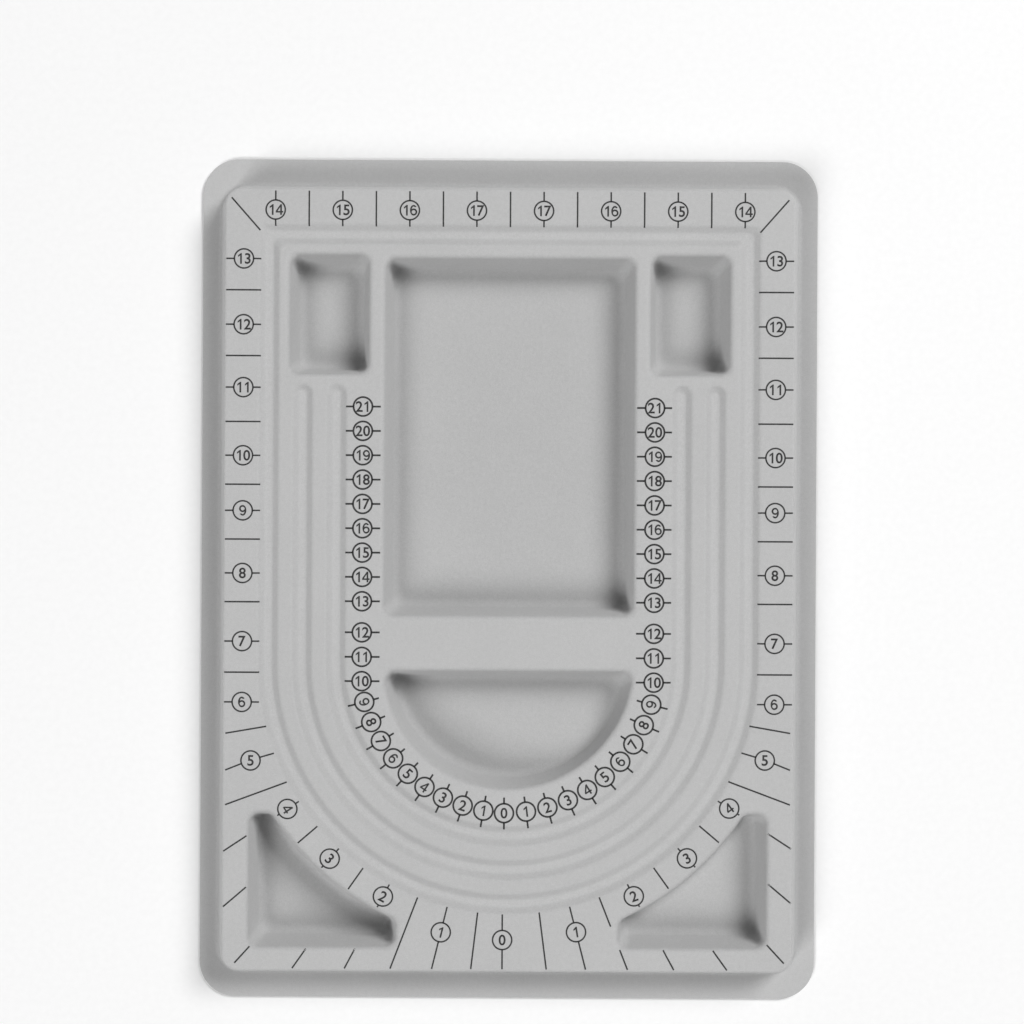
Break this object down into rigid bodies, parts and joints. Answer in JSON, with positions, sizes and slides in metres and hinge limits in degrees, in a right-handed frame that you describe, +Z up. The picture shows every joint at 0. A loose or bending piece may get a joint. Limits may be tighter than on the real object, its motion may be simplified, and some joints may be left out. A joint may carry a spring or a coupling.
{
  "type": "bead board",
  "caption": "Flocked tray of drawn plastic sheet, open underneath, with U-shaped bead channels, open wells and a flat flange, for laying out and measuring strings of beads.",
  "frame": {"origin": "middle of the base, on the surface that the board lies on", "axes": "+Z up out of the flocked face, +Y along the board towards the small wells, X across it"},
  "size_m": [0.24, 0.327, 0.016],
  "materials": {
    "flock": "matt light grey flock",
    "sheet": "drawn grey polystyrene sheet, slightly satin"
  },
  "bodies": {
    "root": {"flock_nap": "flock", "formed_sheet": "sheet"}
  },
  "joints": []
}
